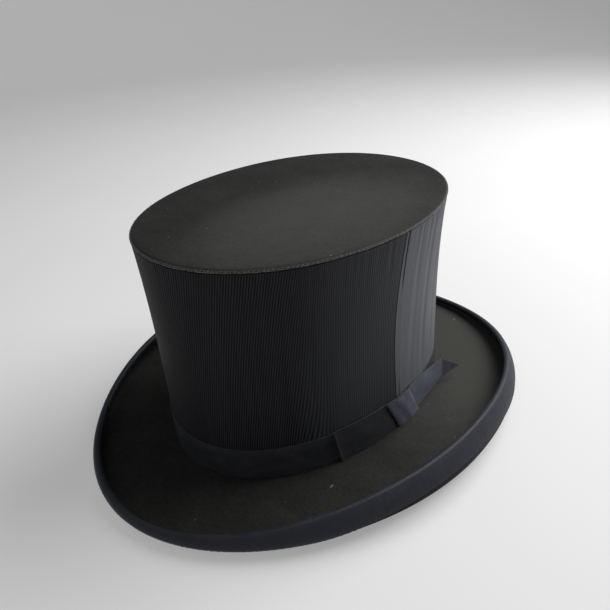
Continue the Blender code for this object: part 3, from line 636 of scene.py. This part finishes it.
def brimAt(turn, back, lift, beyond=0.0):
    # the board's middle is a curve from the crown out and up to the edge; a point is found by its distance back
    # from the edge, lifted along the normal or pushed beyond along the curve
    front, side = (1 - np.cos(2 * turn)) / 2, (1 + np.cos(2 * turn)) / 2
    root = junctionAt(turn) - brim["halfStack"]
    curlReach, curlDrop, edgeReach, edgeRise = (
        brim[key][0] * front + brim[key][1] * side for key in ("curlReach", "curlDrop", "edgeReach", "edgeRise"))
    trim = brim["quarterTrim"] * np.sin(2 * turn) ** 2 * (np.sin(turn) < 0)  # the front quarters are cut closer
    flat = 0 * turn
    corners = [(flat - brim["rootInset"], root), (flat + brim["rootReach"], root - brim["rootDrop"]),
               (curlReach - trim, hat["junction"] - curlDrop), (edgeReach - trim, hat["junction"] + edgeRise)]
    s = np.linspace(0, 1, 240)[:, None]
    weights = ((1 - s) ** 3, 3 * (1 - s) ** 2 * s, 3 * (1 - s) * s ** 2, s ** 3)
    curve = np.stack([sum(w * c[k] for w, c in zip(weights, corners)) for k in (0, 1)], -1)
    step = np.gradient(curve, axis=0)
    runs = np.linalg.norm(np.diff(curve, axis=0), axis=-1)
    length = np.concatenate([0 * root[None], np.cumsum(runs, axis=0)])
    tangent = step / np.linalg.norm(step, axis=-1, keepdims=True)
    target = np.clip(length[-1] - back * np.ones_like(turn), 0, length[-1])
    low = np.clip((length[None] <= target[:, None]).sum(1) - 1, 0, len(s) - 2)
    at = lambda table, k: np.take_along_axis(table, k if table.ndim == 2 else k[..., None], 0)
    part = ((target - at(length, low)) / np.maximum(at(length, low + 1) - at(length, low), 1e-9))[..., None]
    point = at(curve, low) * (1 - part) + at(curve, low + 1) * part
    way = at(tangent, low) * (1 - part) + at(tangent, low + 1) * part
    normal = np.stack([-way[..., 1], way[..., 0]], -1)
    lift, beyond = (np.asarray(value * np.ones_like(target))[..., None] for value in (lift, beyond))
    point = point + normal * lift + way * beyond
    return headRow(-point[..., 0], turn, point[..., 1])


def brimCover(name, node, sign):
    # felt on one face of the board: outer face from the edge in to the crown, and the glued face back
    turn = np.linspace(0, tau, brim["cols"], endpoint=False)
    share, outer = outAndBack(54, 54, 1.2)
    soft = brim["unevenness"] * ripple(turn * 5 + share * 3, 21) * np.sin(np.pi * np.clip(share, 0, 1))
    lift = sign * (brim["coverOffset"] + np.where(outer, brim["cover"] + soft * (sign > 0), 0))
    points = brimAt(turn, share * brimWidth(turn), lift)
    piece = gridPiece(name, points, feltFinish, "base", across=True)
    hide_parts(node)
    return piece


def brimWidth(turn):
    # length of the section from the crown to the edge, stepping further back than any brim reaches
    steps = np.linspace(0, 1, 200)[:, None] * 0.2
    path = brimAt(turn, steps, 0.0)
    return np.linalg.norm(np.diff(path, axis=0), axis=-1).sum(0)


def brimBinding():
    # ribbon folded over the edge: from under the brim, round, and in on top; then its inner face back
    turn = np.linspace(0, tau, brim["bindCols"], endpoint=False)
    under = np.linspace(brim["bindUnder"], 0, 16)[:-1, None]
    bend = np.radians(np.linspace(-90, 90, 13))[:, None]
    over = np.linspace(0, brim["bindOver"], 12)[1:, None]
    back = np.concatenate([under, 0 * bend, over])
    lean = np.concatenate([0 * under - np.pi / 2, bend, 0 * over + np.pi / 2])
    outer = brim["bindOffset"] + brim["ribbon"] + brim["bindWobble"] * ripple(turn * 40, 9) * (back > 0.001)
    points = [brimAt(turn, back, r * np.sin(lean), r * np.cos(lean)) for r in (outer, brim["bindOffset"] + 0 * outer)]
    points = np.concatenate([points[0], points[1][::-1]])
    points[..., 2] = np.maximum(points[..., 2], 0.0)  # rests on the floor
    piece = gridPiece("brimBinding", points, bindFinish, "base", across=True)
    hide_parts("brim_binding")
    return piece


def brimBoard():
    # stiff middle layer: both faces of the board, joined at the edge and at the crown
    turn = np.linspace(0, tau, brim["cols"], endpoint=False)
    share, upper = outAndBack(40, 40)
    points = brimAt(turn, share * brimWidth(turn), np.where(upper, 0.5, -0.5) * brim["board"])
    piece = gridPiece("brimBoard", points, boardFinish, "base", across=True)
    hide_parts("brim_board")


brimBoard()
covers = [brimCover("brimUpperCover", "brim_upper_cover", 1), brimCover("brimLowerCover", "brim_lower_cover", -1)]
binding = brimBinding()
print("brim made")

# inside: sweatband, lining and tip lining

inside = dict(sweatInset=0.0037, leather=0.0012, sweatTop=0.0226, hemRoll=0.0005, topRoll=0.0003, unevenness=0.00008,
              stitches=190, stitch=0.00022, stitchRun=0.0105, stitchRise=0.0022,
              ledge=0.029557, lining=0.0110, satin=0.0006, liningTop=0.144457, gather=0.0007, gatherMost=0.0016,
              tipInset=0.0119, tipCrease=0.00025)


def sweatband():
    # leather strip: flat outer face, and an inner face with a rolled top edge and a raised hem
    turn = np.linspace(0, tau, 400, endpoint=False)
    share, face = outAndBack(24, 24)
    hem = junctionAt(turn) - 2 * brim["halfStack"]
    height = hem + (hat["junction"] + inside["sweatTop"] - hem) * share
    roll = inside["hemRoll"] * np.exp(-((share - 0.05) / 0.05) ** 2)
    roll = roll + inside["topRoll"] * np.exp(-((share - 0.97) / 0.04) ** 2)
    soft = inside["unevenness"] * ripple(turn * 9 + share * 2, 5)
    inset = inside["sweatInset"] + np.where(face, inside["leather"] + roll + soft, 0)
    points = headRow(inset, turn, height)
    piece = gridPiece("sweatBand", points, leatherFinish, "base", across=True)
    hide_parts("sweatband")


def sweatbandStitches():
    # a row of short threads along the hem, their ends sunk into the leather
    count = inside["stitches"]
    lean = np.linspace(-1, 1, 5)
    at = np.linspace(0, tau, count, endpoint=False)[:, None] + lean * inside["stitchRun"]
    standing = inside["sweatInset"] + inside["leather"] + 0.00018 - 0.00012 * lean ** 2
    path = headRow(standing, at, junctionAt(at) + inside["stitchRise"])
    girth = inside["stitch"] * np.sqrt(np.clip(1 - lean ** 2, 0, 1)) * np.ones((count, 1))
    rods = np.swapaxes(tube(path, girth, 6, False), 1, 2)
    gridPiece("sweatBandStitches", rods, seatThread, "base", across=True, along=False)


def crownLining():
    # lining wall with soft gathers, and the ledge that closes the space over the sweatband
    turn = np.linspace(0, tau, 480, endpoint=False)
    share = np.linspace(0, 1, 40)[:, None]
    ledgeTop = inside["ledge"] + inside["satin"]
    tall = inside["liningTop"] - inside["ledge"]
    fading = np.sin(np.pi * np.clip(share, 0, 1)) ** 0.5 * (1 - smooth(0.88, 0.95, share))
    gather = np.clip(inside["gather"] * (0.5 + 0.5 * ripple(turn * 9, 13)) * fading, 0, inside["gatherMost"])
    wall = headRow(inside["lining"] + gather + inside["satin"], turn, inside["ledge"] + tall * share)
    backWall = headRow(inside["lining"] + gather, turn, ledgeTop + (inside["liningTop"] - ledgeTop) * share)
    ledgeFoot = headRow(inside["sweatInset"], turn, inside["ledge"])[None]
    ledgeHead = headRow(inside["sweatInset"], turn, ledgeTop)[None]
    points = np.concatenate([ledgeFoot, wall, backWall[::-1], ledgeHead])
    piece = gridPiece("crownLining", points, satinFinish, "base", across=True)
    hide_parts("crown_lining")
    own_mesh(piece)


def tipLining():
    # a disc with faint gathers towards its rim: rim to middle below, and back to the rim above
    turn = np.linspace(0, tau, 240, endpoint=False)
    share = np.concatenate([np.linspace(1, 0, 24), np.linspace(0, 1, 24)])[:, None]
    under = (np.arange(48) < 24)[:, None]
    length, width = hat["halfLength"] - inside["tipInset"], hat["halfWidth"] - inside["tipInset"]
    x, y = ovalAt(length * share, width * share, turn)
    crease = inside["tipCrease"] * ripple(turn * 6, 17) * share ** 2 * (1 - share ** 8)
    height = inside["liningTop"] - np.where(under, inside["satin"] - np.minimum(crease, 0), 0)
    points = np.stack(np.broadcast_arrays(x, y, height), -1)
    piece = gridPiece("tipLining", points, satinFinish, "top", across=True)
    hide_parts("tip_lining")


sweatband()
sweatbandStitches()
crownLining()
tipLining()
print("inside made")

# kept solids take their finish by material slot

boards = ("tip_board", "crown_base_wall")
for name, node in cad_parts.items():
    for place in range(len(node.material_slots)):
        node.material_slots[place].material = boardFinish if name in boards else steelFinish

# floor, light and camera

stage = dict(floor=(tone(172, 172, 174), tone(164, 164, 166)), glow=0.30, floorReach=1.6, bend=0.6, wall=2.6,
             below=0.0002, key=23.0, front=2.1, fill=1.2, ambient=0.13)
lens = dict(place=(0.26642, -0.26138, 0.27823), right=(0.7274798, 0.6824927, -0.0705468),
            down=(0.2884296, -0.3974841, -0.8710998), focal=37.02, sensor=36.0)


def floorAndWorld():
    # pale bowl: a round floor, a quarter bend and a wall, turned about the upright axis;
    # camera and mirror rays also see its glow
    turn = np.linspace(0, tau, 96, endpoint=False)
    bend = np.radians(np.linspace(0, 90, 24))
    curved = stage["floorReach"] + stage["bend"] * np.sin(bend)
    reach = np.concatenate([[0.0, 0.3, 0.8], curved, [stage["floorReach"] + stage["bend"]]])[:, None]
    height = np.concatenate([[0.0, 0.0, 0.0], stage["bend"] * (1 - np.cos(bend)), [stage["wall"]]])[:, None]
    height = height - stage["below"]
    points = np.stack(np.broadcast_arrays(reach * np.cos(turn), reach * np.sin(turn), height), -1)
    made, shader, place, uv = newFinish("paleFloor", **{"Specular IOR Level": 0.1, "Emission Strength": 1.0})
    cloud = place.noise(3.0, 3.0)
    setFinish(shader, cloud.blend(*stage["floor"]), 0.8 + cloud * 0.1)
    rays = made.node_tree.nodes.new("ShaderNodeLightPath").outputs
    seen = Wire(rays["Is Camera Ray"]) + Wire(rays["Is Glossy Ray"]) + Wire(rays["Is Transmission Ray"])
    glow = seen.between(0.0, 1.0).blend((0, 0, 0, 1), (*[stage["glow"]] * 3, 1))
    made.node_tree.links.new(glow.socket, shader.inputs["Emission Color"])
    gridShape("floor", points, made, False, True, lambda p: (0, 0, 1.0) - p * (1, 1, 0))
    world = bpy.data.worlds.new("studio")
    bpy.context.scene.world = world
    world.use_nodes = True
    shown = world.node_tree.nodes["Background"]
    shown.inputs["Color"].default_value = (1, 1, 1, 1)
    shown.inputs["Strength"].default_value = stage["ambient"]


def softLight(name, place, aim, size, power, colour=(1, 1, 1)):
    lamp = bpy.data.lights.new(name, "AREA")
    lamp.shape, lamp.size, lamp.size_y, lamp.energy, lamp.color = "RECTANGLE", *size, power, colour
    made = bpy.data.objects.new(name, lamp)
    facing = (Vector(aim) - Vector(place)).to_track_quat("-Z", "Y")
    made.matrix_world = Matrix.Translation(place) @ facing.to_matrix().to_4x4()
    bpy.context.scene.collection.objects.link(made)


def camera():
    right, down = Vector(lens["right"]), Vector(lens["down"])
    turned = Matrix((right, -down, right.cross(-down))).transposed().to_4x4()
    data = bpy.data.cameras.new("camera")
    data.lens, data.sensor_width = lens["focal"], lens["sensor"]
    made = bpy.data.objects.new("camera", data)
    made.matrix_world = Matrix.Translation(lens["place"]) @ turned
    bpy.context.scene.collection.objects.link(made)
    bpy.context.scene.camera = made


floorAndWorld()
softLight("window", (0.31, 0.77, 0.82), (0.02, 0.02, 0.07), (1.0, 0.7), stage["key"], (1.0, 0.99, 0.97))
softLight("front", (0.75, -0.75, 0.80), (0.0, 0.0, 0.07), (1.2, 1.2), stage["front"], (0.93, 0.96, 1.0))
softLight("fill", (-0.15, -0.55, 1.0), (0.0, 0.0, 0.0), (1.0, 1.0), stage["fill"])
camera()
bpy.context.scene.view_settings.view_transform = "Standard"
print("stage set")
